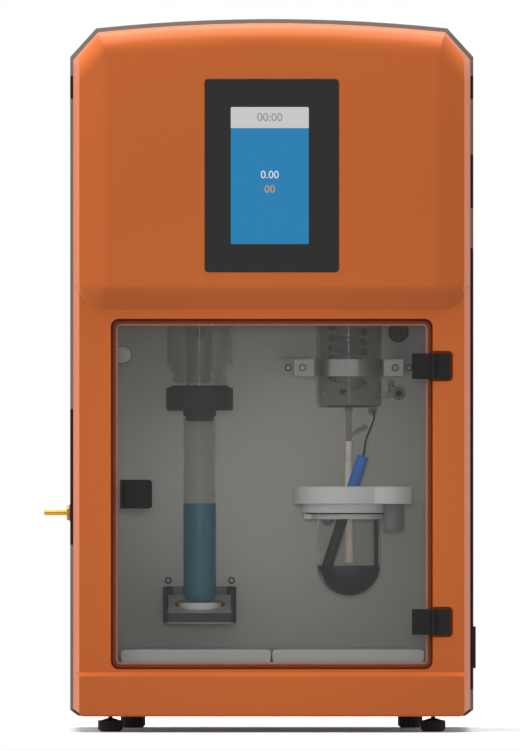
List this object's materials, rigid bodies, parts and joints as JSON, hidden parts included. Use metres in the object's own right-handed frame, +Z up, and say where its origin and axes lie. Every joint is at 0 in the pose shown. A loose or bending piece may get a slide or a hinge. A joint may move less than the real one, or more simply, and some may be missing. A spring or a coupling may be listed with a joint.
{
  "type": "kjeldahl distillation unit",
  "caption": "Bench steam distillation unit: tall cabinet with a crowned moulded front, touch screen and a glazed door over a sample tube, condenser and titration vessel.",
  "frame": {"origin": "on the bench, under the middle of the cabinet shell", "axes": "+Z up, the front with the door and screen faces -Y, +X to the right seen from the front"},
  "size_m": [0.4825, 0.4306, 0.7956],
  "materials": {
    "shell": "satin powder coat",
    "pan": "satin powder coat",
    "fascia": "satin orange moulding",
    "liner": "smooth light grey",
    "black_plastic": "fine matt",
    "screen": "lit glass panel",
    "board": "circuit boards and modules",
    "hinge_black": "black",
    "steel": "brushed",
    "brass": "turned",
    "grey_plastic": "moulded grey",
    "smoked": "smoked clear sheet",
    "glass": "clear laboratory glass",
    "white": "white plastic",
    "rubber": "black rubber",
    "hose": "beige silicone",
    "sample": "blue liquid",
    "receiver": "dark liquid",
    "electrode": "blue cap, black shaft"
  },
  "bodies": {
    "cabinet": {"cabinet_shell": "shell", "base_pan": "pan", "rear_panel": "shell", "front_fascia": "fascia", "chamber_liner": "liner", "display_bezel": "black_plastic", "display_panel": "screen", "display_board": "board", "hinge_cabinet_leaves": "hinge_black", "hinge_pins": "steel", "left_grip": "black_plastic", "right_grip": "black_plastic", "left_service_panel": "black_plastic", "right_service_panels": "black_plastic", "water_inlet_boss": "grey_plastic", "water_inlet_pipe": "brass", "power_inlet": "black_plastic", "door_sensor_lug": "liner", "wall_bushings": "grey_plastic", "wall_plug": "black_plastic", "wall_screws": "steel", "splash_head": "glass", "splash_collar": "black_plastic", "tube_stopper": "rubber", "vapour_bridge": "glass", "tube_rest_bracket": "black_plastic", "condenser_jacket": "glass", "condenser_coil": "glass", "condenser_strap": "steel", "strap_blocks": "grey_plastic", "strap_screws": "steel", "cooling_water_elbow": "glass", "outlet_tube": "glass", "delivery_hose": "hose", "vessel_lid": "white", "vessel_seat_ring": "white", "vessel_gasket": "rubber", "titration_vessel": "glass", "receiver_liquid": "receiver", "lid_post": "grey_plastic", "electrode": "electrode", "electrode_lead": "rubber", "drain_tube": "rubber", "steam_generator": "steel", "inner_modules": "board"},
    "door": {"door_panel": "smoked", "door_pull": "black_plastic", "hinge_door_leaves": "hinge_black"},
    "tube_rest": {"tube_rest_plate": "steel", "tube_rest_cup": "white", "sample_tube": "glass", "sample_liquid": "sample"},
    "left_tray": {"left_drip_tray": "white"},
    "right_tray": {"right_drip_tray": "white"},
    "rocker": {"power_rocker": "black_plastic"},
    "vessel_ring": {"vessel_retaining_ring": "white"},
    "foot_front_left": {"foot_front_left": "black_plastic"},
    "foot_front_right": {"foot_front_right": "black_plastic"},
    "foot_rear_left": {"foot_rear_left": "black_plastic"},
    "foot_rear_right": {"foot_rear_right": "black_plastic"}
  },
  "joints": [
    {"name": "door_hinge", "type": "hinge", "parent": "cabinet", "child": "door", "pos_m": [0.1801, -0.2055, 0.2656], "axis": [0, 0, 1], "range_deg": [0, 110]},
    {"name": "rest_slide", "type": "slide", "parent": "cabinet", "child": "tube_rest", "axis": [0, 0, 1], "range_m": [-0.008, 0], "stiffness_N_per_m": 600, "springref_m": 0.02},
    {"name": "left_tray_lift", "type": "slide", "parent": "cabinet", "child": "left_tray", "axis": [0, 0, 1], "range_m": [0, 0.015]},
    {"name": "right_tray_lift", "type": "slide", "parent": "cabinet", "child": "right_tray", "axis": [0, 0, 1], "range_m": [0, 0.015]},
    {"name": "power_rocker_tilt", "type": "hinge", "parent": "cabinet", "child": "rocker", "pos_m": [0.2221, -0.093, 0.1069], "axis": [0, 1, 0], "range_deg": [-16, 0]},
    {"name": "vessel_ring_turn", "type": "hinge", "parent": "cabinet", "child": "vessel_ring", "pos_m": [0.0863, -0.075, 0.24], "axis": [0, 0, 1], "range_deg": [0, 40]},
    {"name": "foot_front_left_turn", "type": "hinge", "parent": "cabinet", "child": "foot_front_left", "pos_m": [-0.1802, -0.129, 0.01], "axis": [0, 0, 1], "continuous": true},
    {"name": "foot_front_right_turn", "type": "hinge", "parent": "cabinet", "child": "foot_front_right", "pos_m": [0.1802, -0.129, 0.01], "axis": [0, 0, 1], "continuous": true},
    {"name": "foot_rear_left_turn", "type": "hinge", "parent": "cabinet", "child": "foot_rear_left", "pos_m": [-0.1565, 0.175, 0.01], "axis": [0, 0, 1], "continuous": true},
    {"name": "foot_rear_right_turn", "type": "hinge", "parent": "cabinet", "child": "foot_rear_right", "pos_m": [0.1565, 0.175, 0.01], "axis": [0, 0, 1], "continuous": true}
  ]
}
